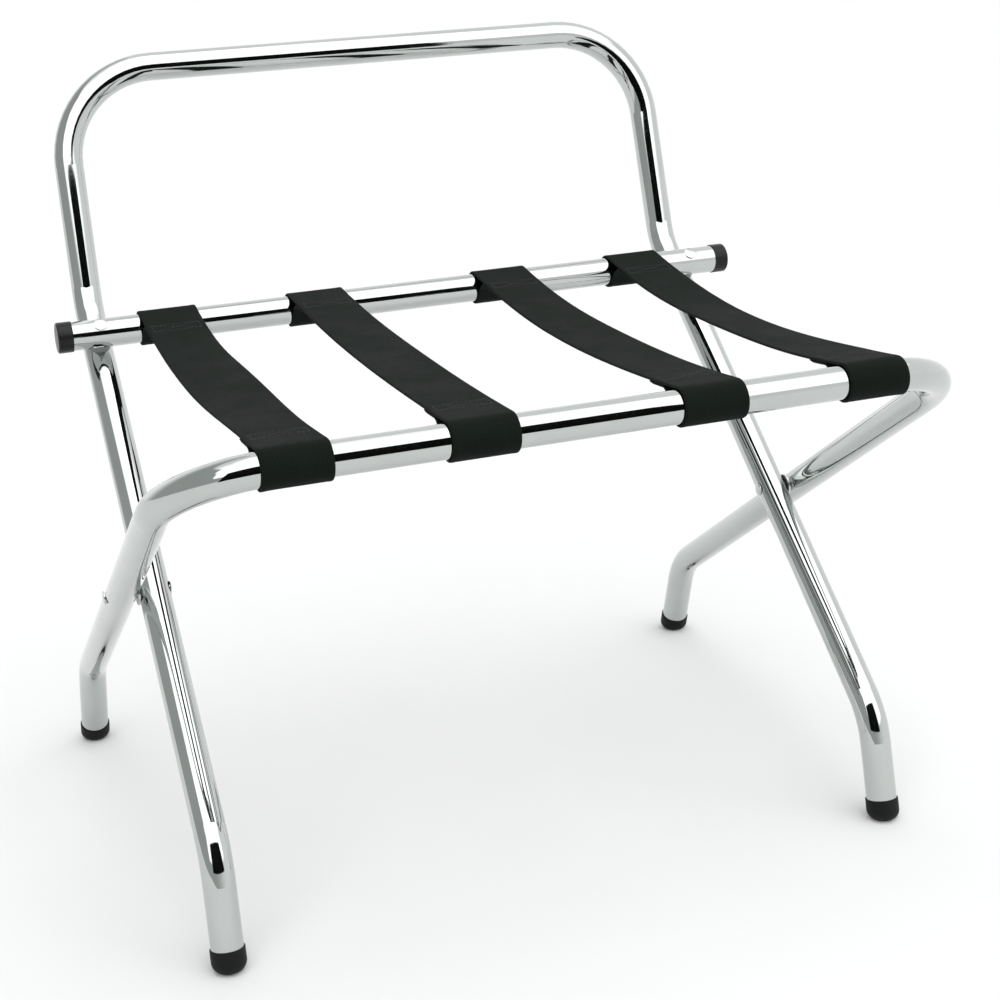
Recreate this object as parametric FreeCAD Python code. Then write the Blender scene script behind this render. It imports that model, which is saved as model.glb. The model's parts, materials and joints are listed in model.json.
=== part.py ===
import FreeCAD, Part
import math
import os
from FreeCAD import Vector

# Folding luggage rack: two bent round-tube frames crossed like an X, four webbing straps for a seat,
# and a backrest hoop. Millimetres, +X to the rack's right, +Y to its back, +Z up, floor at Z = 0.
# The origin is on the floor, under the middle of the overall width and depth.

# ---- driving dimensions ------------------------------------------------------------------------
TUBE_DIAMETER = 25.4
TUBE_WALL = 1.5
TUBE_RADIUS = TUBE_DIAMETER / 2

PIVOT_HEIGHT = 237.5
BACK_FRAME_HALF_WIDTH = 281.5        # centre line of the inner legs
LEG_GAP = 2.0                        # between the inner and the outer leg at the pivot
FRONT_FRAME_HALF_WIDTH = BACK_FRAME_HALF_WIDTH + TUBE_DIAMETER + LEG_GAP

# back frame: hoop, legs that run forwards and down, short upright stubs at the front feet
BACK_LEG_ANGLE = 41.6                # above the floor, degrees
BACK_LEG_ABOVE_PIVOT = 291.0         # pivot to the bend at the foot of the hoop
BACK_LEG_BELOW_PIVOT = 229.0         # pivot to the bend above the foot
HOOP_ANGLE = 74.2                    # above the floor, leaning back
HOOP_HEIGHT = 210.5                  # along the slope
HOOP_CORNER_RADIUS = 84.0
HOOP_FOOT_RADIUS = 60.0
BACK_STUB_ANGLE = 78.0
BACK_STUB_RADIUS = 65.0

# front frame: seat rail, legs that run backwards and down, short stubs at the rear feet
FRONT_LEG_ANGLE = 33.0
FRONT_LEG_ABOVE_PIVOT = 311.2
FRONT_LEG_BELOW_PIVOT = 285.1
RAIL_CORNER_RADIUS = 76.0
FRONT_STUB_ANGLE = 71.0
FRONT_STUB_RADIUS = 65.0

# rear seat crossbar, bolted in front of the back frame's legs
CROSSBAR_STATION = 241.0             # along the back leg from the pivot
CROSSBAR_OFFSET = 28.0               # centre line to the leg's centre line
CROSSBAR_HALF_LENGTH = 319.0         # over the end caps
END_CAP_RADIUS = 13.4
END_CAP_LENGTH = 13.0
END_CAP_FACE = 3.0

# feet
FOOT_RADIUS = 13.6
FOOT_HEIGHT = 17.5                   # along the stub
FOOT_SOLE = 9.0                      # rubber under the end of the tube, along the stub
FOOT_EDGE_RADIUS = 7.5
FOOT_LIP_RADIUS = 0.4

# fasteners
BOLT_RADIUS = 3.0
RUNNING_CLEARANCE = 0.05
HEAD_RADIUS = 6.0
HEAD_HEIGHT = 1.4
NUT_RADIUS = 5.5
NUT_HEIGHT = 1.6
DOME_EDGE = 0.5                      # upright edge of domed heads and nuts
SLEEVE_RADIUS = 4.5
WASHER_RADIUS = 10.0
SIDE_PLAY = 0.3                      # between pieces that turn against each other
SADDLE_RADIUS = 9.5

# straps
STRAP_WIDTH = 50.8
STRAP_THICKNESS = 2.0
STRAPS = (                            # centre in X, sag, share of the way to the rail of the lowest point
    (-222.0, 14.0, 0.33),
    (-88.0, 4.5, 0.42),
    (88.0, 13.5, 0.42),
    (222.0, 18.0, 0.43),
)
STRAP_CLEARANCE = 0.3
FLAP_REACH = 42.0                    # bar centre to the end of the sewn-back tail
FLAP_GAP = 0.6
SPAN_INSET = 10.0                    # bar centre to the nearest end of the hanging part

OVERSIZE = 60.0                      # how far cutting tools run past what they cut

SIDES = (("left", -1), ("right", 1))


# ---- side profile in the Y-Z plane ---------------------------------------------------------------
def along(start, angle, length):
    """Point reached from start, a (y, z) pair, at an angle in degrees from +Y towards +Z."""
    turn = math.radians(angle)
    return (start[0] + length * math.cos(turn), start[1] + length * math.sin(turn))


def down_to_floor(start, slope, direction):
    """Point on the floor under start, down a stub at that slope; direction is its run in Y."""
    return (start[0] + direction * start[1] / math.tan(math.radians(slope)), 0.0)


def strap_radius_outside():
    return TUBE_RADIUS + STRAP_CLEARANCE + STRAP_THICKNESS


def strap_radius_middle():
    return strap_radius_outside() - STRAP_THICKNESS / 2


def side_profile(pivot_y):
    """Named (y, z) points of both frames for a pivot at that depth."""
    pivot = (pivot_y, PIVOT_HEIGHT)
    hoop_foot = along(pivot, BACK_LEG_ANGLE, BACK_LEG_ABOVE_PIVOT)
    back_bend = along(pivot, BACK_LEG_ANGLE, -BACK_LEG_BELOW_PIVOT)
    front_bend = along(pivot, -FRONT_LEG_ANGLE, FRONT_LEG_BELOW_PIVOT)
    on_leg = along(pivot, BACK_LEG_ANGLE, CROSSBAR_STATION)
    return {
        "pivot": pivot,
        "hoop_foot": hoop_foot,
        "hoop_top": along(hoop_foot, HOOP_ANGLE, HOOP_HEIGHT),
        "back_bend": back_bend,
        "back_foot": down_to_floor(back_bend, BACK_STUB_ANGLE, -1),
        "rail": along(pivot, 180 - FRONT_LEG_ANGLE, FRONT_LEG_ABOVE_PIVOT),
        "front_bend": front_bend,
        "front_foot": down_to_floor(front_bend, FRONT_STUB_ANGLE, 1),
        "crossbar": along(on_leg, BACK_LEG_ANGLE + 90, CROSSBAR_OFFSET),
    }


def centred_profile():
    """The side profile, placed so that the overall depth is centred on Y = 0."""
    trial = side_profile(0.0)
    front = trial["rail"][0] - strap_radius_outside()
    back = trial["hoop_top"][0] + TUBE_RADIUS
    return side_profile(-(front + back) / 2)


PROFILE = centred_profile()


def at(x, name):
    y, z = PROFILE[name]
    return Vector(x, y, z)


# ---- tubes ---------------------------------------------------------------------------------------
def rounded_wire(points, radii):
    """Open wire through the points, with a tangent arc of the given radius at each inner one."""
    edges = []
    start = points[0]
    for before, corner, after, radius in zip(points, points[1:], points[2:], radii):
        to_before = (before - corner).normalize()
        to_after = (after - corner).normalize()
        half_angle = to_before.getAngle(to_after) / 2
        tangent = radius / math.tan(half_angle)
        inwards = (to_before + to_after).normalize()
        arc_start = corner + to_before * tangent
        arc_end = corner + to_after * tangent
        arc_middle = corner + inwards * (radius / math.sin(half_angle) - radius)
        edges.append(Part.LineSegment(start, arc_start).toShape())
        edges.append(Part.Arc(arc_start, arc_middle, arc_end).toShape())
        start = arc_end
    edges.append(Part.LineSegment(start, points[-1]).toShape())
    return Part.Wire(edges)


def round_sweep(wire, radius):
    """Solid bar of that radius along the wire."""
    first = wire.OrderedEdges[0]
    heading = first.tangentAt(first.FirstParameter)
    circle = Part.Wire(Part.makeCircle(radius, first.valueAt(first.FirstParameter), heading))
    return wire.makePipeShell([circle], True, True)


def hollow_tube(wire):
    return round_sweep(wire, TUBE_RADIUS).cut(round_sweep(wire, TUBE_RADIUS - TUBE_WALL))


def cylinder(start, axis, radius, length):
    return Part.makeCylinder(radius, length, start, axis)


def foot_axis(bend, foot):
    """Unit vector up the stub, from the floor towards the bend."""
    return (at(0, bend) - at(0, foot)).normalize()


def stub_end(x, bend, foot):
    """Where the tube ends, inside the rubber foot."""
    return at(x, foot) + foot_axis(bend, foot) * FOOT_SOLE


def back_frame_wire():
    half = BACK_FRAME_HALF_WIDTH
    points = [
        stub_end(-half, "back_bend", "back_foot"),
        at(-half, "back_bend"),
        at(-half, "hoop_foot"),
        at(-half, "hoop_top"),
        at(half, "hoop_top"),
        at(half, "hoop_foot"),
        at(half, "back_bend"),
        stub_end(half, "back_bend", "back_foot"),
    ]
    half_radii = [BACK_STUB_RADIUS, HOOP_FOOT_RADIUS, HOOP_CORNER_RADIUS]
    return rounded_wire(points, half_radii + half_radii[::-1])


def front_frame_wire():
    half = FRONT_FRAME_HALF_WIDTH
    points = [
        stub_end(-half, "front_bend", "front_foot"),
        at(-half, "front_bend"),
        at(-half, "rail"),
        at(half, "rail"),
        at(half, "front_bend"),
        stub_end(half, "front_bend", "front_foot"),
    ]
    half_radii = [FRONT_STUB_RADIUS, RAIL_CORNER_RADIUS]
    return rounded_wire(points, half_radii + half_radii[::-1])


def across_leg():
    """Unit vector square to the back leg, from the leg towards the crossbar."""
    turn = math.radians(BACK_LEG_ANGLE + 90)
    return Vector(0, math.cos(turn), math.sin(turn))


def pivot_holes(radius):
    """Drill that goes through both sides at the pivot."""
    reach = FRONT_FRAME_HALF_WIDTH + OVERSIZE
    return cylinder(at(-reach, "pivot"), Vector(1, 0, 0), radius, 2 * reach)


def crossbar_drill(side):
    """Drill for the bolt through the crossbar and one leg."""
    start = at(side * BACK_FRAME_HALF_WIDTH, "crossbar") + across_leg() * OVERSIZE
    return cylinder(start, -across_leg(), BOLT_RADIUS + RUNNING_CLEARANCE, 3 * OVERSIZE)


def make_back_frame_tube():
    tube = hollow_tube(back_frame_wire())
    drills = [crossbar_drill(side) for _, side in SIDES]
    return tube.cut([pivot_holes(BOLT_RADIUS + RUNNING_CLEARANCE)] + drills)


def make_front_frame_tube():
    return hollow_tube(front_frame_wire()).cut(pivot_holes(SLEEVE_RADIUS + RUNNING_CLEARANCE))


def make_crossbar():
    half = CROSSBAR_HALF_LENGTH - END_CAP_FACE
    start = at(-half, "crossbar")
    bar = cylinder(start, Vector(1, 0, 0), TUBE_RADIUS, 2 * half)
    bore = cylinder(start, Vector(1, 0, 0), TUBE_RADIUS - TUBE_WALL, 2 * half)
    return bar.cut([bore] + [crossbar_drill(side) for _, side in SIDES])


# ---- caps and feet -------------------------------------------------------------------------------
def make_end_cap(side):
    """Plastic cup pushed over one end of the crossbar."""
    outward = Vector(side, 0, 0)
    mouth = at(side * (CROSSBAR_HALF_LENGTH - END_CAP_LENGTH), "crossbar")
    cup = cylinder(mouth, outward, END_CAP_RADIUS, END_CAP_LENGTH)
    face_x = side * CROSSBAR_HALF_LENGTH
    rim = [edge for edge in cup.Edges if all(abs(v.X - face_x) < 0.01 for v in edge.Vertexes)]
    cup = cup.makeFillet(END_CAP_FACE / 2, rim)
    bore = cylinder(mouth, outward, TUBE_RADIUS, END_CAP_LENGTH - END_CAP_FACE)
    return cup.cut(bore)


def make_foot(x, bend, foot):
    """Rubber cup on the end of a leg, with its sole cut level with the floor."""
    up = foot_axis(bend, foot)
    centre = at(x, foot)
    body = cylinder(centre - up * OVERSIZE, up, FOOT_RADIUS, OVERSIZE + FOOT_HEIGHT)
    corner = Vector(x - OVERSIZE, centre.y - 2 * OVERSIZE, -2 * OVERSIZE)
    ground = Part.makeBox(2 * OVERSIZE, 4 * OVERSIZE, 2 * OVERSIZE, corner)
    body = body.cut(ground)
    sole = [edge for edge in body.Edges if edge.BoundBox.ZMax < 0.01]
    body = body.makeFillet(FOOT_EDGE_RADIUS, sole)
    lip = [edge for edge in body.Edges if edge.BoundBox.ZMin > FOOT_HEIGHT / 2 and edge.Closed]
    body = body.makeFillet(FOOT_LIP_RADIUS, lip)
    bore = cylinder(stub_end(x, bend, foot), up, TUBE_RADIUS, OVERSIZE)
    return body.cut(bore)


# ---- fasteners -----------------------------------------------------------------------------------
def domed_disc(base, axis, radius, height):
    """Low button with a flat base, a short upright edge and a rounded face."""
    radial = axis.cross(Vector(0, 0, 1)).normalize()
    rise = height - DOME_EDGE
    crown = (radius * radius + rise * rise) / (2 * rise)
    crown_centre = base + axis * (height - crown)
    corner = base + radial * radius
    edge_top = corner + axis * DOME_EDGE
    halfway = (radial * radius * 0.5 + axis * (crown - rise / 4)).normalize()
    apex = base + axis * height
    outline = Part.Wire([
        Part.LineSegment(base, corner).toShape(),
        Part.LineSegment(corner, edge_top).toShape(),
        Part.Arc(edge_top, crown_centre + halfway * crown, apex).toShape(),
        Part.LineSegment(apex, base).toShape(),
    ])
    return Part.Face(outline).revolve(base, axis, 360)


def make_pivot_bolt(side):
    """Bolt from outside the front frame's leg to the nut inside the back frame's leg."""
    inward = Vector(-side, 0, 0)
    seat_x = FRONT_FRAME_HALF_WIDTH + TUBE_RADIUS + SIDE_PLAY
    nut_x = BACK_FRAME_HALF_WIDTH - TUBE_RADIUS
    seat = at(side * seat_x, "pivot")
    shank = cylinder(seat, inward, BOLT_RADIUS, seat_x - nut_x + NUT_HEIGHT / 2)
    return shank.fuse(domed_disc(seat, -inward, HEAD_RADIUS, HEAD_HEIGHT)).removeSplitter()


def make_pivot_nut(side):
    inward = Vector(-side, 0, 0)
    seat = at(side * (BACK_FRAME_HALF_WIDTH - TUBE_RADIUS), "pivot")
    nut = domed_disc(seat, inward, NUT_RADIUS, NUT_HEIGHT)
    return nut.cut(cylinder(seat, inward, BOLT_RADIUS, NUT_HEIGHT / 2))


def make_pivot_washer(side):
    """Flat washer that keeps the two legs apart."""
    outward = Vector(side, 0, 0)
    start = at(side * (BACK_FRAME_HALF_WIDTH + TUBE_RADIUS), "pivot")
    thickness = LEG_GAP - SIDE_PLAY
    disc = cylinder(start, outward, WASHER_RADIUS, thickness)
    return disc.cut(cylinder(start, outward, BOLT_RADIUS + RUNNING_CLEARANCE, thickness))


def make_pivot_sleeve(side):
    """Sleeve through the front frame's leg that turns on the bolt and keeps the tube from crushing."""
    outward = Vector(side, 0, 0)
    start = at(side * (FRONT_FRAME_HALF_WIDTH - TUBE_RADIUS), "pivot")
    sleeve = cylinder(start, outward, SLEEVE_RADIUS, TUBE_DIAMETER)
    return sleeve.cut(cylinder(start, outward, BOLT_RADIUS + RUNNING_CLEARANCE, TUBE_DIAMETER))


def make_crossbar_saddle(side):
    """Spacer shaped to both tubes, between the crossbar and the leg."""
    x = side * BACK_FRAME_HALF_WIDTH
    bar_centre = at(x, "crossbar")
    block = cylinder(bar_centre, -across_leg(), SADDLE_RADIUS, CROSSBAR_OFFSET)
    bar = cylinder(bar_centre - Vector(OVERSIZE, 0, 0), Vector(1, 0, 0), TUBE_RADIUS, 2 * OVERSIZE)
    leg = round_sweep(back_frame_wire(), TUBE_RADIUS)
    return block.cut([bar, leg, crossbar_drill(side)])


def make_crossbar_bolt(side):
    """Bolt with its domed head on the front of the crossbar."""
    backward = -across_leg()
    seat = at(side * BACK_FRAME_HALF_WIDTH, "crossbar") - backward * TUBE_RADIUS
    length = CROSSBAR_OFFSET + TUBE_DIAMETER + NUT_HEIGHT / 2
    shank = cylinder(seat, backward, BOLT_RADIUS, length)
    return shank.fuse(domed_disc(seat, -backward, HEAD_RADIUS, HEAD_HEIGHT)).removeSplitter()


def make_crossbar_nut(side):
    backward = -across_leg()
    bar_centre = at(side * BACK_FRAME_HALF_WIDTH, "crossbar")
    seat = bar_centre + backward * (CROSSBAR_OFFSET + TUBE_RADIUS)
    nut = domed_disc(seat, backward, NUT_RADIUS, NUT_HEIGHT)
    return nut.cut(cylinder(seat, backward, BOLT_RADIUS, NUT_HEIGHT / 2))


# ---- straps --------------------------------------------------------------------------------------
def upward():
    """Unit vector up, square to the line from the crossbar to the rail."""
    return (at(0, "rail") - at(0, "crossbar")).cross(Vector(1, 0, 0)).normalize()


def lowest_point(sag, low_share):
    """Middle of the webbing's thickness where it hangs lowest."""
    rear = at(0, "crossbar")
    return rear + (at(0, "rail") - rear) * low_share + upward() * (strap_radius_middle() - sag)


def hanging_arc(sag, low_share, bar):
    """Centre and mid-thickness radius of the arc from the lowest point to the top of that bar."""
    run = (at(0, "rail") - at(0, "crossbar")).Length * (low_share if bar == "crossbar" else 1 - low_share)
    reach = (run * run + sag * sag) / (2 * sag)
    radius = reach - strap_radius_middle()
    return lowest_point(sag, low_share) + upward() * radius, radius


def below_centre(centre, radius, y):
    """Point at depth y on the lower half of a circle in the Y-Z plane."""
    return Vector(0, y, centre.z - math.sqrt(radius ** 2 - (y - centre.y) ** 2))


def span_edge(sag, low_share, lift):
    """One face of the hanging part seen from the side, rear to front, lift above the middle."""
    low = lowest_point(sag, low_share) + upward() * lift
    rear_centre, rear_radius = hanging_arc(sag, low_share, "crossbar")
    front_centre, front_radius = hanging_arc(sag, low_share, "rail")
    rear_y = at(0, "crossbar").y - SPAN_INSET
    front_y = at(0, "rail").y + SPAN_INSET
    rear_end = below_centre(rear_centre, rear_radius - lift, rear_y)
    rear_middle = below_centre(rear_centre, rear_radius - lift, (rear_y + low.y) / 2)
    front_middle = below_centre(front_centre, front_radius - lift, (front_y + low.y) / 2)
    front_end = below_centre(front_centre, front_radius - lift, front_y)
    edges = [
        Part.Arc(rear_end, rear_middle, low).toShape(),
        Part.Arc(low, front_middle, front_end).toShape(),
    ]
    return edges, rear_end, front_end


def make_strap_span(x, sag, low_share):
    """Hanging part of one strap, between its two sewn loops."""
    top, top_rear, top_front = span_edge(sag, low_share, STRAP_THICKNESS / 2)
    under, under_rear, under_front = span_edge(sag, low_share, -STRAP_THICKNESS / 2)
    front_side = Part.LineSegment(top_front, under_front).toShape()
    rear_side = Part.LineSegment(under_rear, top_rear).toShape()
    outline = Part.Wire(top + [front_side] + under[::-1] + [rear_side])
    span = Part.Face(outline).extrude(Vector(STRAP_WIDTH, 0, 0))
    span.translate(Vector(x - STRAP_WIDTH / 2, 0, 0))
    clear = strap_radius_outside() + STRAP_CLEARANCE
    left = x - STRAP_WIDTH / 2
    right = Vector(1, 0, 0)
    around_bars = [cylinder(at(left, bar), right, clear, STRAP_WIDTH) for bar in ("rail", "crossbar")]
    return span.cut(around_bars)


def flap_end(sag, low_share, bar):
    """Mid-thickness end of a sewn-back tail, just under the span."""
    centre, radius = hanging_arc(sag, low_share, bar)
    toward = 1 if bar == "rail" else -1
    return below_centre(centre, radius + STRAP_THICKNESS + FLAP_GAP, at(0, bar).y + toward * FLAP_REACH)


def make_strap_loop(x, sag, low_share, bar):
    """Webbing wrapped round a bar, with its tail led back under the span."""
    left = x - STRAP_WIDTH / 2
    right = Vector(1, 0, 0)
    centre = at(left, bar)
    outside = strap_radius_outside()
    inside = outside - STRAP_THICKNESS
    ring = cylinder(centre, right, outside, STRAP_WIDTH)
    tail = flap_end(sag, low_share, bar) - at(0, bar)
    swing = math.acos(strap_radius_middle() / tail.Length)
    toward = 1 if bar == "rail" else -1
    heading = math.atan2(tail.z, tail.y) - toward * swing
    radial = Vector(0, math.cos(heading), math.sin(heading))
    corners = [
        centre + radial * inside,
        centre + radial * outside,
        centre + tail + radial * (STRAP_THICKNESS / 2),
        centre + tail - radial * (STRAP_THICKNESS / 2),
    ]
    face = Part.Face(Part.makePolygon(corners + corners[:1]))
    loop = ring.fuse(face.extrude(right * STRAP_WIDTH))
    return loop.cut(cylinder(centre, right, inside, STRAP_WIDTH)).removeSplitter()


def make_front_loop(x, sag, low_share, rail_space):
    """Loop round the seat rail, relieved where the outer straps reach the rail's bends."""
    return make_strap_loop(x, sag, low_share, "rail").cut(rail_space)


# ---- build ---------------------------------------------------------------------------------------
def build():
    pieces = {
        "back_frame_tube": make_back_frame_tube(),
        "front_frame_tube": make_front_frame_tube(),
        "rear_crossbar": make_crossbar(),
    }
    for name, side in SIDES:
        pieces["crossbar_end_cap_" + name] = make_end_cap(side)
        pieces["crossbar_saddle_" + name] = make_crossbar_saddle(side)
        pieces["crossbar_bolt_" + name] = make_crossbar_bolt(side)
        pieces["crossbar_nut_" + name] = make_crossbar_nut(side)
        pieces["pivot_bolt_" + name] = make_pivot_bolt(side)
        pieces["pivot_nut_" + name] = make_pivot_nut(side)
        pieces["pivot_washer_" + name] = make_pivot_washer(side)
        pieces["pivot_sleeve_" + name] = make_pivot_sleeve(side)
        front_x = side * BACK_FRAME_HALF_WIDTH
        rear_x = side * FRONT_FRAME_HALF_WIDTH
        pieces["front_foot_" + name] = make_foot(front_x, "back_bend", "back_foot")
        pieces["rear_foot_" + name] = make_foot(rear_x, "front_bend", "front_foot")
    rail_space = round_sweep(front_frame_wire(), TUBE_RADIUS + STRAP_CLEARANCE)
    for number, (x, sag, low_share) in enumerate(STRAPS, start=1):
        strap = "strap_%d_" % number
        pieces[strap + "rear_loop"] = make_strap_loop(x, sag, low_share, "crossbar")
        pieces[strap + "span"] = make_strap_span(x, sag, low_share)
        pieces[strap + "front_loop"] = make_front_loop(x, sag, low_share, rail_space)
    return pieces


os.makedirs("parts", exist_ok=True)
for node, shape in build().items():
    if len(shape.Solids) == 1:
        shape = shape.Solids[0]
    shape.exportStep("parts/%s.step" % node)
    print("%-24s solids %d valid %s volume %.1f" % (node, len(shape.Solids), shape.isValid(), shape.Volume))
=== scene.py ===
import json
import math

import bpy
from mathutils import Matrix, Vector


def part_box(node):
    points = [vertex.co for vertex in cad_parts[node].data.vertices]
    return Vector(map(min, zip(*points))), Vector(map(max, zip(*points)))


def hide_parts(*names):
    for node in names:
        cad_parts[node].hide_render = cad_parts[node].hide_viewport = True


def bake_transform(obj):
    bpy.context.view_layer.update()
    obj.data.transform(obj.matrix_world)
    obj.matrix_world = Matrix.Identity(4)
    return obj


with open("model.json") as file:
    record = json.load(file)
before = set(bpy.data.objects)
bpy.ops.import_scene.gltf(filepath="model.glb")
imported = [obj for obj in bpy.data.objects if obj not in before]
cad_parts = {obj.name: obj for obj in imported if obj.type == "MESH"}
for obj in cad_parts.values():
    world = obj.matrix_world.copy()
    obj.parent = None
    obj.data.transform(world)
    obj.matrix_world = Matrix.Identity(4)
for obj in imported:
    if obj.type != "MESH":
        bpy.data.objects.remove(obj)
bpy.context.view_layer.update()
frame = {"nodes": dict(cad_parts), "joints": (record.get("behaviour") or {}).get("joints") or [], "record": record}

# ---- sizes, in metres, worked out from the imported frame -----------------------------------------
RAIL_LOW, RAIL_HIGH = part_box("front_frame_tube")
BAR_LOW, BAR_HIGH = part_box("rear_crossbar")
TUBE_RADIUS = (BAR_HIGH.z - BAR_LOW.z) / 2
RAIL_Y = RAIL_LOW.y + TUBE_RADIUS
RAIL_Z = RAIL_HIGH.z - TUBE_RADIUS
BAR_Y = (BAR_LOW.y + BAR_HIGH.y) / 2
BAR_Z = (BAR_LOW.z + BAR_HIGH.z) / 2
PIVOT = Vector(frame["joints"][0]["pos_m"])
OUTER_LEG_X = RAIL_HIGH.x - TUBE_RADIUS

STRAP_THICKNESS = 0.0020
STRAP_CLEARANCE = 0.0003             # between the webbing and the bar that it goes round
TAIL_GAP = 0.0001                    # between a sewn tail and the span above it
LOWEST_SHARES = (0.33, 0.42, 0.42, 0.43)       # crossbar to rail, where each strap hangs lowest
STRAP_TWISTS = (0.004, 0.0005, 0.001, -0.002)  # how much lower the left edge hangs than the middle
STRAP_STEP = 0.0016                  # spacing of the ribbon's rings along its length
TAPER_LENGTH = 0.005                 # sealed end of a tail, which thins out against the span
TAPER_THICKNESS = 0.35               # share of the thickness left at the very end
RAIL_CORNER_RADIUS = 0.076           # middle line of the tube, where the rail bends into a leg
CORNER_REACH = 3.5                   # wrap radii from the rail, where the webbing stops following its bend
REAR, FRONT = -1, 1                  # which loop: the side of its bar on which the span lies, along Y
SEWN_START = {REAR: 0.031, FRONT: 0.025}  # bar centre to the near and far end of the sewn overlap
SEWN_END = {REAR: 0.050, FRONT: 0.046}
LEAVE_ANGLE = {REAR: math.radians(-38), FRONT: math.radians(-14)}  # tail off the bar, from level
TAIL_PULL = 0.4                      # length of the tail curve's handles, as a share of the tail's length
SEWN_STEPS, TAIL_STEPS, WRAP_STEPS, SPAN_STEPS = 12, 14, 44, 60
SPAN_SHARES = (0.2, 0.8)             # a stretch of the strap that lies within its span
SEARCH_STEPS = 40                    # halvings of that stretch in the search for a point
FACE_STEPS, EDGE_STEPS = 26, 6       # of the webbing's outline
EDGE_ROLL = 0.0009                   # how far the rounding of the webbing's edge reaches in
SELVAGE_WIDTH, SELVAGE_RISE = 0.0045, 0.00012  # slightly raised strip along each edge
SEAM_INSET, SEAM_END_INSET = 0.005, 0.003  # from the webbing's edge, and from the ends of the overlap
STITCH_PITCH, STITCH_GAP = 0.0034, 0.0008
STITCH_STEPS, STITCH_SIDES = 6, 6    # rings along a stitch, and points round it
STITCH_BLUNTNESS = 0.06              # share of a stitch at each end that doesn't thin out further
THREAD_RADIUS, THREAD_FLATNESS = 0.00042, 0.75  # half its width, and its height as a share of that

YARN_WIDTH, YARN_LENGTH = 0.00135, 0.0021

CAMERA_PLACE = (-0.5064, -1.4371, 0.7719)
CAMERA_TURN = math.radians(18.803)   # to the right of +Y
CAMERA_DIP = math.radians(14.365)    # below level
CAMERA_ROLL = math.radians(-2.954)   # negative: its right side is the lower one
CAMERA_SENSOR, CAMERA_LENS = 36, 67.35
CAMERA_SHIFT = (0.05, -0.1274)

OPENING_X, OPENING_Y, OPENING_Z = (-1.15, 0.62), -1.285, (0.29, 1.245)  # of the light tent


# ---- camera -------------------------------------------------------------------------------------
def make_camera():
    forward = Vector((
        math.sin(CAMERA_TURN) * math.cos(CAMERA_DIP),
        math.cos(CAMERA_TURN) * math.cos(CAMERA_DIP),
        -math.sin(CAMERA_DIP),
    ))
    level = Vector((math.cos(CAMERA_TURN), -math.sin(CAMERA_TURN), 0))
    upright = level.cross(forward)
    right = level * math.cos(CAMERA_ROLL) + upright * math.sin(CAMERA_ROLL)
    up = upright * math.cos(CAMERA_ROLL) - level * math.sin(CAMERA_ROLL)
    data = bpy.data.cameras.new("camera")
    camera = bpy.data.objects.new("camera", data)
    bpy.context.scene.collection.objects.link(camera)
    axes = Matrix((right, up, -forward)).transposed()
    camera.matrix_world = Matrix.Translation(CAMERA_PLACE) @ axes.to_4x4()
    data.sensor_width = CAMERA_SENSOR
    data.lens = CAMERA_LENS
    data.shift_x, data.shift_y = CAMERA_SHIFT
    data.clip_end = 100
    bpy.context.scene.camera = camera


# ---- node helpers -------------------------------------------------------------------------------
class Nodes:
    """Short calls for building one node tree."""

    def __init__(self, tree):
        self.tree = tree
        tree.nodes.clear()

    def add(self, kind, **values):
        node = self.tree.nodes.new(kind)
        for name, value in values.items():
            setattr(node, name, value)
        return node

    def link(self, output, socket):
        self.tree.links.new(output, socket)

    def feed(self, socket, value):
        if isinstance(value, bpy.types.NodeSocket):
            self.link(value, socket)
        else:
            socket.default_value = value

    def math(self, operation, *values):
        node = self.add("ShaderNodeMath", operation=operation)
        for socket, value in zip(node.inputs, values):
            self.feed(socket, value)
        return node.outputs[0]

    def smooth(self, value, low, high, start=0.0, stop=1.0):
        """start below low, stop above high, with an eased step between."""
        node = self.add("ShaderNodeMapRange", interpolation_type="SMOOTHSTEP")
        for socket, given in zip(node.inputs, (value, low, high, start, stop)):
            self.feed(socket, given)
        return node.outputs[0]

    def mix(self, share, first, second):
        node = self.add("ShaderNodeMix", data_type="RGBA")
        self.feed(node.inputs[0], share)
        self.feed(node.inputs[6], first)
        self.feed(node.inputs[7], second)
        return node.outputs[2]

    def noise(self, vector, scale, detail=3.0, roughness=0.5):
        node = self.add("ShaderNodeTexNoise")
        self.link(vector, node.inputs["Vector"])
        node.inputs["Scale"].default_value = scale
        node.inputs["Detail"].default_value = detail
        node.inputs["Roughness"].default_value = roughness
        return node.outputs[0]

    def bump(self, height, strength, distance, normal=None):
        node = self.add("ShaderNodeBump")
        node.inputs["Strength"].default_value = strength
        node.inputs["Distance"].default_value = distance
        self.link(height, node.inputs["Height"])
        if normal is not None:
            self.link(normal, node.inputs["Normal"])
        return node.outputs[0]

    def place(self):
        return self.add("ShaderNodeTexCoord").outputs["Object"]

    def stretched(self, vector, scale):
        node = self.add("ShaderNodeMapping")
        self.link(vector, node.inputs["Vector"])
        node.inputs["Scale"].default_value = scale
        return node.outputs[0]

    def surface(self, **values):
        """Principled surface; each value is a constant or an output."""
        shader = self.add("ShaderNodeBsdfPrincipled")
        for name, value in values.items():
            self.feed(shader.inputs[name.replace("_", " ")], value)
        output = self.add("ShaderNodeOutputMaterial")
        self.link(shader.outputs[0], output.inputs[0])


def new_material(name):
    material = bpy.data.materials.new(name)
    material.use_nodes = True
    return material, Nodes(material.node_tree)


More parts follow.
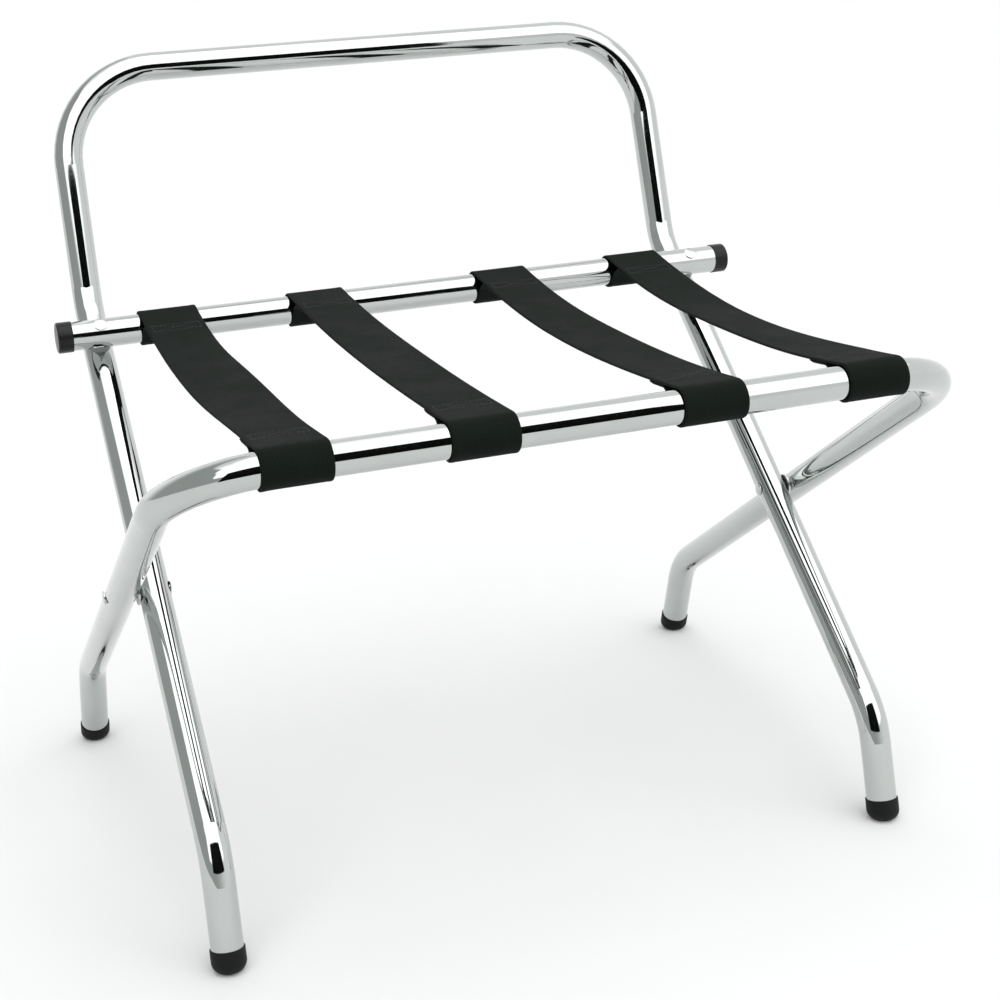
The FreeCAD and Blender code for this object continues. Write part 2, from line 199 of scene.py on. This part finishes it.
# ---- materials ----------------------------------------------------------------------------------
def make_chrome():
    """Polished plating: mirror with faint smears, fine polishing lines and a hint of ripple."""
    material, n = new_material("chrome_plate")
    place = n.place()
    smears = n.noise(place, 14.0, 5.0, 0.6)
    specks = n.noise(place, 420.0, 2.0, 0.5)
    lines = n.noise(n.stretched(place, (900.0, 60.0, 60.0)), 1.0, 2.0, 0.6)
    ripple = n.noise(place, 22.0, 1.0, 0.4)
    clean, smeared = (0.535, 0.555, 0.545, 1), (0.495, 0.515, 0.505, 1)
    tone = n.mix(n.smooth(smears, 0.35, 0.75), clean, smeared)
    smear_rough = n.smooth(smears, 0.4, 0.8, 0.035, 0.085)
    speck_rough = n.smooth(specks, 0.62, 0.8, 0.0, 0.05)
    rough = n.math("ADD", smear_rough, speck_rough)
    fine = n.bump(lines, 0.02, 0.0002)
    wavy = n.bump(ripple, 0.05, 0.001, fine)
    n.surface(Base_Color=tone, Metallic=1.0, Roughness=rough, Normal=wavy)
    return material


def make_zinc():
    """Plain plated steel of washers and sleeves."""
    material, n = new_material("zinc_plate")
    place = n.place()
    clouds = n.noise(place, 90.0, 4.0, 0.6)
    grain = n.noise(place, 1500.0, 2.0, 0.5)
    dull, bright = (0.50, 0.51, 0.52, 1), (0.66, 0.67, 0.67, 1)
    tone = n.mix(clouds, dull, bright)
    n.surface(Base_Color=tone, Metallic=1.0, Roughness=n.smooth(clouds, 0.3, 0.7, 0.24, 0.38),
              Normal=n.bump(grain, 0.2, 0.0002))
    return material


def make_rubber():
    """Black rubber: fine pebble, a little dust towards the sole."""
    material, n = new_material("black_rubber_skin")
    place = n.place()
    pebble = n.noise(place, 1900.0, 3.0, 0.6)
    clouds = n.noise(place, 60.0, 4.0, 0.6)
    split = n.add("ShaderNodeSeparateXYZ")
    n.link(place, split.inputs[0])
    low_down = n.smooth(split.outputs[2], 0.001, 0.009, 1.0, 0.0)
    dust = n.math("MULTIPLY", low_down, n.smooth(clouds, 0.35, 0.7))
    black, worn_black = (0.0055, 0.006, 0.006, 1), (0.011, 0.012, 0.0115, 1)
    dust_grey = (0.045, 0.043, 0.04, 1)
    tone = n.mix(clouds, black, worn_black)
    dusty = n.mix(n.math("MULTIPLY", dust, 0.35), tone, dust_grey)
    n.surface(Base_Color=dusty, Roughness=n.smooth(clouds, 0.3, 0.7, 0.45, 0.6), Specular_IOR_Level=0.12,
              Normal=n.bump(pebble, 0.35, 0.0003))
    return material


def make_plastic(name, dark, light, rough, specular):
    """Moulded plastic with a fine spark-eroded grain."""
    material, n = new_material(name)
    place = n.place()
    grain = n.noise(place, 2400.0, 2.0, 0.5)
    clouds = n.noise(place, 110.0, 3.0, 0.5)
    tone = n.mix(clouds, (*dark, 1), (*light, 1))
    n.surface(Base_Color=tone, Roughness=n.smooth(clouds, 0.3, 0.7, rough, rough + 0.1),
              Specular_IOR_Level=specular, Normal=n.bump(grain, 0.25, 0.0002))
    return material


def weave_height(n, across, along):
    """Ribbed webbing: columns of short bulging yarns, each column half a yarn out of step."""
    column = n.math("DIVIDE", across, YARN_WIDTH)
    odd = n.math("MODULO", n.math("FLOOR", column), 2.0)
    row = n.math("ADD", n.math("DIVIDE", along, YARN_LENGTH), n.math("MULTIPLY", odd, 0.5))
    round_across = n.math("SINE", n.math("MULTIPLY", n.math("FRACT", column), math.pi))
    round_along = n.math("SINE", n.math("MULTIPLY", n.math("FRACT", row), math.pi))
    return n.math("MULTIPLY", n.math("SQRT", round_across), n.math("SQRT", round_along))


def make_webbing():
    """Black woven strap: yarns in relief, painted shade in the gaps between them, loose fibres and uneven dye."""
    material, n = new_material("black_webbing_cloth")
    place = n.place()
    uv = n.add("ShaderNodeUVMap", uv_map="strap_uv")
    split = n.add("ShaderNodeSeparateXYZ")
    n.link(uv.outputs[0], split.inputs[0])
    across, along = split.outputs[0], split.outputs[1]
    yarns = weave_height(n, across, along)
    fibres = n.noise(n.stretched(uv.outputs[0], (5200.0, 700.0, 1.0)), 1.0, 2.0, 0.6)
    patches = n.noise(place, 26.0, 4.0, 0.6)
    # painted shade: the low parts of the weave, between the yarns, are darkened
    gap_shade = n.smooth(yarns, 0.15, 0.75)
    dark_yarn, pale_yarn = (0.004, 0.0068, 0.005, 1), (0.007, 0.0108, 0.008, 1)
    # the second tone below is the painted shade colour for the weave's gaps
    fibre_tone, gap_shade_tone = (0.014, 0.019, 0.0155, 1), (0.0012, 0.0018, 0.0014, 1)
    yarn_tone = n.mix(n.smooth(patches, 0.3, 0.7), dark_yarn, pale_yarn)
    fuzzy = n.mix(n.math("MULTIPLY", fibres, 0.35), yarn_tone, fibre_tone)
    tone = n.mix(gap_shade, gap_shade_tone, fuzzy)
    relief = n.math("ADD", yarns, n.math("MULTIPLY", fibres, 0.25))
    n.surface(Base_Color=tone, Roughness=n.smooth(patches, 0.3, 0.7, 0.72, 0.86), Sheen_Weight=0.015,
              Sheen_Roughness=0.5, Specular_IOR_Level=0.06, Normal=n.bump(relief, 0.55, 0.0004))
    return material


def make_thread():
    """Twisted bonded thread, a touch glossier than the webbing."""
    material, n = new_material("black_thread")
    place = n.place()
    twist = n.noise(n.stretched(place, (2600.0, 900.0, 2600.0)), 1.0, 1.0, 0.5)
    dark, light = (0.006, 0.0075, 0.0065, 1), (0.018, 0.022, 0.019, 1)
    tone = n.mix(twist, dark, light)
    n.surface(Base_Color=tone, Roughness=n.smooth(twist, 0.3, 0.7, 0.45, 0.6), Specular_IOR_Level=0.3,
              Normal=n.bump(twist, 0.4, 0.0002))
    return material


# ---- straps -------------------------------------------------------------------------------------
WRAP_RADIUS = TUBE_RADIUS + STRAP_CLEARANCE + STRAP_THICKNESS / 2
BAR = Vector((BAR_Y, BAR_Z))
RAIL = Vector((RAIL_Y, RAIL_Z))
CHORD = RAIL - BAR
UPWARD = Vector((CHORD.y, -CHORD.x)).normalized()    # square to the chord


def spread(count):
    return [i / count for i in range(count + 1)]


def bezier(a, b, c, d, t):
    s = 1 - t
    return a * s ** 3 + b * 3 * s * s * t + c * 3 * s * t * t + d * t ** 3


def turned(centre, radius, angle):
    return centre + radius * Vector((math.cos(angle), math.sin(angle)))


def round_bar(bar, inward, angle):
    """Point of the webbing round a bar, at an angle from level on the span's side."""
    return turned(bar, WRAP_RADIUS, angle if inward == FRONT else math.pi - angle)


class Strap:
    """Side view of one strap: the middle of its thickness, as (y, z), from sewn tail to sewn tail."""

    def __init__(self, number):
        self.name = "strap_%d" % number
        low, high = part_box(self.name + "_span")
        self.centre_x, self.width = (low.x + high.x) / 2, high.x - low.x
        self.share, self.twist = LOWEST_SHARES[number - 1], STRAP_TWISTS[number - 1]
        top_of_chord = BAR + CHORD * self.share + UPWARD * WRAP_RADIUS
        self.sag = top_of_chord.y - STRAP_THICKNESS / 2 - low.z
        self.lowest = top_of_chord - UPWARD * self.sag
        self.arcs = {FRONT: self.arc(1 - self.share), REAR: self.arc(self.share)}
        self.line, self.length = resampled(self.path(), STRAP_STEP)

    def arc(self, share):
        """Centre and radius of the arc from the lowest point to the top of a bar."""
        run = CHORD.length * share
        radius = (run * run + self.sag * self.sag) / (2 * self.sag) - WRAP_RADIUS
        return self.lowest + UPWARD * radius, radius

    def under_span(self, y, inward, below):
        centre, radius = self.arcs[inward]
        return Vector((y, centre.y - math.sqrt((radius + below) ** 2 - (y - centre.x) ** 2)))

    def loop_path(self, bar, inward):
        """From the end of the sewn tail, round the bar, to where the span leaves it."""
        below = STRAP_THICKNESS + TAIL_GAP
        sewn_start, sewn_end, leave_angle = SEWN_START[inward], SEWN_END[inward], LEAVE_ANGLE[inward]
        sewn = []
        for t in spread(SEWN_STEPS):
            reach = sewn_end + (sewn_start - sewn_end) * t
            sewn.append(self.under_span(bar.x + inward * reach, inward, below))
        leave = round_bar(bar, inward, leave_angle)
        leave_heading = Vector((-inward * math.sin(leave_angle), math.cos(leave_angle)))
        sewn_heading = (sewn[-2] - sewn[-1]).normalized()
        pull = (leave - sewn[-1]).length * TAIL_PULL
        sewn_handle, leave_handle = sewn[-1] - sewn_heading * pull, leave + leave_heading * pull
        tail = [bezier(sewn[-1], sewn_handle, leave_handle, leave, t) for t in spread(TAIL_STEPS)[1:]]
        toward = self.arcs[inward][0] - bar
        top = math.atan2(toward.y, inward * toward.x)
        swept = 2 * math.pi - (top - leave_angle)
        wrap = [round_bar(bar, inward, leave_angle - swept * t) for t in spread(WRAP_STEPS)[1:]]
        return sewn + tail + wrap

    def path(self):
        rear = self.loop_path(BAR, REAR)
        front = self.loop_path(RAIL, FRONT)[::-1]
        span = []
        for inward, start, end in ((REAR, rear[-1], self.lowest), (FRONT, self.lowest, front[0])):
            centre, radius = self.arcs[inward]
            from_angle = math.atan2(start.y - centre.y, start.x - centre.x)
            turn = math.atan2(end.y - centre.y, end.x - centre.x) - from_angle
            span += [turned(centre, radius, from_angle + turn * t) for t in spread(SPAN_STEPS)[1:]]
        return rear + span[:-1] + front

    def at_length(self, s):
        """Point and outward normal at length s."""
        index = max(0.0, min(s / self.length, 1.0)) * (len(self.line) - 1)
        i = min(int(index), len(self.line) - 2)
        before, after = self.line[max(i - 1, 0)], self.line[min(i + 2, len(self.line) - 1)]
        heading = (after - before).normalized()
        return self.line[i].lerp(self.line[i + 1], index - i), Vector((heading.y, -heading.x))

    def corner_drop(self, x, point):
        """How far the webbing follows the rail where the rail starts to bend down, near its corners."""
        past = abs(x) - (OUTER_LEG_X - RAIL_CORNER_RADIUS)
        if past <= 0:
            return Vector((0, 0))
        drop = RAIL_CORNER_RADIUS - math.sqrt(RAIL_CORNER_RADIUS ** 2 - past ** 2)
        down_leg = Vector((PIVOT.y, PIVOT.z)) - RAIL
        to_reach = CORNER_REACH * WRAP_RADIUS - (point - RAIL).length
        near = max(0.0, min(1.0, to_reach / ((CORNER_REACH - 1) * WRAP_RADIUS)))
        return down_leg.normalized() * drop * near

    def twist_drop(self, x, point):
        """How far the twist lifts or lowers the webbing at x, between the sewn ends."""
        rear_end, front_end = BAR.x - SEWN_END[REAR], RAIL.x + SEWN_END[FRONT]
        share = (rear_end - point.x) / (rear_end - front_end)
        if not 0 < share < 1:
            return Vector((0, 0))
        across = 2 * (x - self.centre_x) / self.width
        return UPWARD * self.twist * across * math.sin(math.pi * share) ** 2

    def place(self, x, s, height):
        """Point of the strap, at x across, s along and height out of the middle of the thickness."""
        middle, normal = self.at_length(s)
        point = middle + normal * height
        point = point + self.corner_drop(x, point) + self.twist_drop(x, middle)
        return Vector((x, point.x, point.y))

    def length_at(self, y):
        """Length at which the span passes depth y."""
        low, high = (self.length * share for share in SPAN_SHARES)
        for _ in range(SEARCH_STEPS):
            middle = (low + high) / 2
            if self.at_length(middle)[0].x > y:
                low = middle
            else:
                high = middle
        return (low + high) / 2


def resampled(points, step):
    """The same line with evenly spaced points, and its length."""
    lengths = [0.0]
    for a, b in zip(points, points[1:]):
        lengths.append(lengths[-1] + (b - a).length)
    count = round(lengths[-1] / step)
    line, i = [], 0
    for k in range(count + 1):
        s = lengths[-1] * k / count
        while i < len(points) - 2 and lengths[i + 1] < s:
            i += 1
        share = (s - lengths[i]) / (lengths[i + 1] - lengths[i])
        line.append(points[i].lerp(points[i + 1], min(share, 1.0)))
    return line, lengths[-1]


def webbing_section(width):
    """Closed outline of the webbing as (across, height), and the distance round it to each point.

    The faces are flat up to a slightly raised selvage, and the edges are rolled."""
    half, thick = width / 2, STRAP_THICKNESS / 2
    outline = []
    for side in (1, -1):
        for t in spread(FACE_STEPS):
            across = -side * (half - EDGE_ROLL) * (1 - 2 * t)
            into_selvage = max(0.0, abs(across) - (half - SELVAGE_WIDTH)) / SELVAGE_WIDTH
            rise = SELVAGE_RISE * math.sin(math.pi * min(into_selvage, 1.0))
            outline.append((across, side * (thick + rise)))
        for i in range(1, EDGE_STEPS):
            angle = math.pi * i / EDGE_STEPS
            reach = half - EDGE_ROLL + EDGE_ROLL * math.sin(angle)
            outline.append((side * reach, side * thick * math.cos(angle)))
    rounds = [0.0]
    for a, b in zip(outline, outline[1:] + outline[:1]):
        rounds.append(rounds[-1] + math.hypot(b[0] - a[0], b[1] - a[1]))
    return outline, rounds


def mesh_object(name, vertices, faces, material):
    mesh = bpy.data.meshes.new(name)
    mesh.from_pydata(vertices, [], faces)
    mesh.materials.append(material)
    mesh.shade_smooth()
    made = bpy.data.objects.new(name, mesh)
    bpy.context.scene.collection.objects.link(made)
    return made


def make_ribbon(strap, material):
    """One strap as a closed ribbon, from sewn tail to sewn tail."""
    outline, rounds = webbing_section(strap.width)
    per_ring, rings = len(outline), len(strap.line)
    vertices = []
    for k in range(rings):
        s = strap.length * k / (rings - 1)
        full = min(1.0, min(s, strap.length - s) / TAPER_LENGTH)
        thickness = TAPER_THICKNESS + (1 - TAPER_THICKNESS) * full
        for across, height in outline:
            thinned = (height + STRAP_THICKNESS / 2) * thickness - STRAP_THICKNESS / 2
            vertices.append(strap.place(strap.centre_x + across, s, thinned))
    faces = []
    for k in range(rings - 1):
        for i in range(per_ring):
            j = (i + 1) % per_ring
            a, b = k * per_ring, (k + 1) * per_ring
            faces.append((a + i, a + j, b + j, b + i))
    faces.append(tuple(range(per_ring))[::-1])
    faces.append(tuple((rings - 1) * per_ring + i for i in range(per_ring)))
    made = mesh_object(strap.name + "_webbing", vertices, faces, material)
    add_strap_uv(made.data, rounds, strap.length / (rings - 1))
    return made


def add_strap_uv(mesh, rounds, ring_step):
    """UV map in metres: the distance round the webbing's outline, and the distance along the strap."""
    per_ring = len(rounds) - 1
    layer = mesh.uv_layers.new(name="strap_uv")
    for polygon in mesh.polygons:
        places = [mesh.loops[loop].vertex_index % per_ring for loop in polygon.loop_indices]
        closes_ring = polygon.loop_total == 4 and max(places) - min(places) > 1
        for loop, place in zip(polygon.loop_indices, places):
            ring = mesh.loops[loop].vertex_index // per_ring
            around = rounds[per_ring] if closes_ring and place == 0 else rounds[place]
            layer.data[loop].uv = (around, ring_step * ring)


def stitch_rows(width, near, far):
    """Ends of the straight seams of a boxed cross, as ((x, s), (x, s)) from the strap's centre line."""
    side = width / 2 - SEAM_INSET
    corners = [(-side, near), (side, near), (side, far), (-side, far)]
    box = list(zip(corners, corners[1:] + corners[:1]))
    return box + [(corners[0], corners[2]), (corners[1], corners[3])]


def add_stitch(strap, vertices, faces, start, end, lift):
    """One raised stitch from start to end, lying on the face at height lift."""
    first = len(vertices)
    heading = (end - start).normalized()
    sideways = Vector((-heading.y, heading.x))
    for t in spread(STITCH_STEPS):
        swell = THREAD_RADIUS * math.sin(math.pi * min(max(t, STITCH_BLUNTNESS), 1 - STITCH_BLUNTNESS))
        for i in range(STITCH_SIDES):
            angle = 2 * math.pi * i / STITCH_SIDES
            spot = start.lerp(end, t) + sideways * swell * math.cos(angle)
            height = lift + math.copysign(swell * THREAD_FLATNESS, lift) * math.sin(angle)
            vertices.append(strap.place(strap.centre_x + spot.x, spot.y, height))
    for k in range(STITCH_STEPS):
        a, b = first + k * STITCH_SIDES, first + (k + 1) * STITCH_SIDES
        for i in range(STITCH_SIDES):
            j = (i + 1) % STITCH_SIDES
            faces.append((a + i, a + j, b + j, b + i))
    faces.append(tuple(range(first, first + STITCH_SIDES))[::-1])
    faces.append(tuple(range(len(vertices) - STITCH_SIDES, len(vertices))))


def make_stitching(strap, material):
    """Boxed-cross seams at both ends of one strap, on the span's face and under the tail."""
    vertices, faces = [], []
    half_gap = STITCH_GAP / STITCH_PITCH / 2
    for bar, inward in ((BAR, REAR), (RAIL, FRONT)):
        reaches = (SEWN_START[inward] + SEAM_END_INSET, SEWN_END[inward] - SEAM_END_INSET)
        near, far = sorted(strap.length_at(bar.x + inward * reach) for reach in reaches)
        for start, end in stitch_rows(strap.width, near, far):
            a, b = Vector(start), Vector(end)
            count = round((b - a).length / STITCH_PITCH)
            for k in range(count):
                from_point = a.lerp(b, (k + half_gap) / count)
                to_point = a.lerp(b, (k + 1 - half_gap) / count)
                for lift in (STRAP_THICKNESS / 2, -STRAP_THICKNESS * 1.5 - TAIL_GAP):
                    add_stitch(strap, vertices, faces, from_point, to_point, lift)
    return mesh_object(strap.name + "_stitching", vertices, faces, material)


def make_straps(webbing, thread):
    for number in range(1, 5):
        strap = Strap(number)
        ribbon = make_ribbon(strap, webbing)
        seams = make_stitching(strap, thread)
        for piece in (ribbon, seams):
            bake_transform(piece)
        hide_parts(strap.name + "_rear_loop", strap.name + "_span", strap.name + "_front_loop")


# ---- stage --------------------------------------------------------------------------------------
def make_floor():
    """Pale floor disc with a faint mottle."""
    material, n = new_material("pale_floor")
    place = n.place()
    mottle = n.noise(place, 3.0, 5.0, 0.6)
    dull, pale = (0.70, 0.70, 0.70, 1), (0.73, 0.73, 0.73, 1)
    tone = n.mix(mottle, dull, pale)
    n.surface(Base_Color=tone, Roughness=0.9, Normal=n.bump(n.noise(place, 400.0), 0.05, 0.0005))
    sides, radius = 96, 20.0
    angles = [2 * math.pi * i / sides for i in range(sides)]
    rim = [(radius * math.cos(angle), radius * math.sin(angle), 0.0) for angle in angles]
    floor = mesh_object("floor", rim, [tuple(range(sides))], material)


def make_world():
    """Studio surroundings: a wide soft light overhead that comes down low ahead of the rack, on the side it
    is looked at from, and walls that are paler to the right and behind than to the left."""
    world = bpy.data.worlds.new("studio")
    bpy.context.scene.world = world
    world.use_nodes = True
    n = Nodes(world.node_tree)
    split = n.add("ShaderNodeSeparateXYZ")
    n.link(n.add("ShaderNodeTexCoord").outputs["Generated"], split.inputs[0])
    x, y, z = split.outputs
    degrees = 180 / math.pi
    elevation = n.math("MULTIPLY", n.math("ARCSINE", z), degrees)
    bearing = n.math("MULTIPLY", n.math("ARCTAN2", x, n.math("MULTIPLY", y, -1.0)), degrees)
    left_wall, right_wall = (0.47, 0.49, 0.48, 1), (1.06, 1.07, 1.07, 1)
    back_wall = (1.20, 1.20, 1.20, 1)
    light, dim_light = (2.10, 2.12, 2.11, 1), (1.08, 1.09, 1.085, 1)
    side_walls = n.mix(n.smooth(x, -0.45, 0.85), left_wall, right_wall)
    walls = n.mix(n.smooth(y, 0.55, 0.97), side_walls, back_wall)
    towards_back = n.mix(n.smooth(y, -0.15, 0.25), light, dim_light)
    overhead = n.mix(n.smooth(z, 0.93, 0.99), towards_back, light)
    ahead = n.math("MULTIPLY", n.smooth(bearing, -62.0, -50.0), n.smooth(bearing, 52.0, 64.0, 1.0, 0.0))
    far_left = n.smooth(bearing, -80.0, -62.0, 1.0, 0.0)
    edge_shift = n.math("ADD", n.math("MULTIPLY", ahead, -23.0), n.math("MULTIPLY", far_left, 17.0))
    past_edge = n.math("SUBTRACT", elevation, edge_shift)
    room = n.mix(n.smooth(past_edge, 38.5, 43.5), walls, overhead)
    background = n.add("ShaderNodeBackground")
    n.link(room, background.inputs[0])
    background.inputs[1].default_value = 1.0
    output = n.add("ShaderNodeOutputWorld")
    n.link(background.outputs[0], output.inputs[0])


def make_opening():
    """Dark front opening of the light tent, which only reflections show: the plating's black streaks."""
    material, n = new_material("dark_opening")
    dark, less_dark = (0.003, 0.004, 0.003, 1), (0.006, 0.007, 0.006, 1)
    tone = n.mix(n.noise(n.place(), 1.5), dark, less_dark)
    n.surface(Base_Color=tone, Roughness=0.9, Specular_IOR_Level=0.0)
    (left, right), (bottom, top) = OPENING_X, OPENING_Z
    corners = [(x, OPENING_Y, z) for x, z in ((left, bottom), (right, bottom), (right, top), (left, top))]
    opening = mesh_object("dark_opening", corners, [(0, 1, 2, 3)], material)
    opening.visible_camera = False
    opening.visible_diffuse = False
    opening.visible_transmission = False
    opening.visible_shadow = False


def add_softbox(name, place, aim, size, power):
    data = bpy.data.lights.new(name, "AREA")
    data.shape = "RECTANGLE"
    data.size, data.size_y = size
    data.energy = power
    lamp = bpy.data.objects.new(name, data)
    bpy.context.scene.collection.objects.link(lamp)
    direction = Vector(aim) - Vector(place)
    facing = direction.to_track_quat("-Z", "Y").to_matrix().to_4x4()
    lamp.matrix_world = Matrix.Translation(place) @ facing


def make_lights():
    add_softbox("overhead_softbox", place=(0.2, -0.3, 2.9), aim=(0, 0, 0.3), size=(2.2, 1.8), power=8)


# ---- put together -------------------------------------------------------------------------------
def dress_cad_nodes(finishes):
    """Give each CAD node the material of its slot in the record."""
    for row in frame["record"]["subparts"]:
        materials = frame["nodes"][row["node"]].data.materials
        materials.clear()
        materials.append(finishes[row["material_slot"]])


def main():
    make_camera()
    webbing = make_webbing()
    black, worn_black = (0.006, 0.0065, 0.006), (0.011, 0.012, 0.0115)
    grey, pale_grey = (0.16, 0.165, 0.17), (0.22, 0.225, 0.23)
    dress_cad_nodes({
        "chrome": make_chrome(),
        "zinc_steel": make_zinc(),
        "black_rubber": make_rubber(),
        "black_plastic": make_plastic("black_plastic_skin", black, worn_black, rough=0.26, specular=0.2),
        "grey_plastic": make_plastic("grey_plastic_skin", grey, pale_grey, rough=0.4, specular=0.3),
        "webbing": webbing,
    })
    make_straps(webbing, make_thread())
    make_floor()
    make_world()
    make_opening()
    make_lights()
    bpy.context.scene.view_settings.view_transform = "Standard"


main()
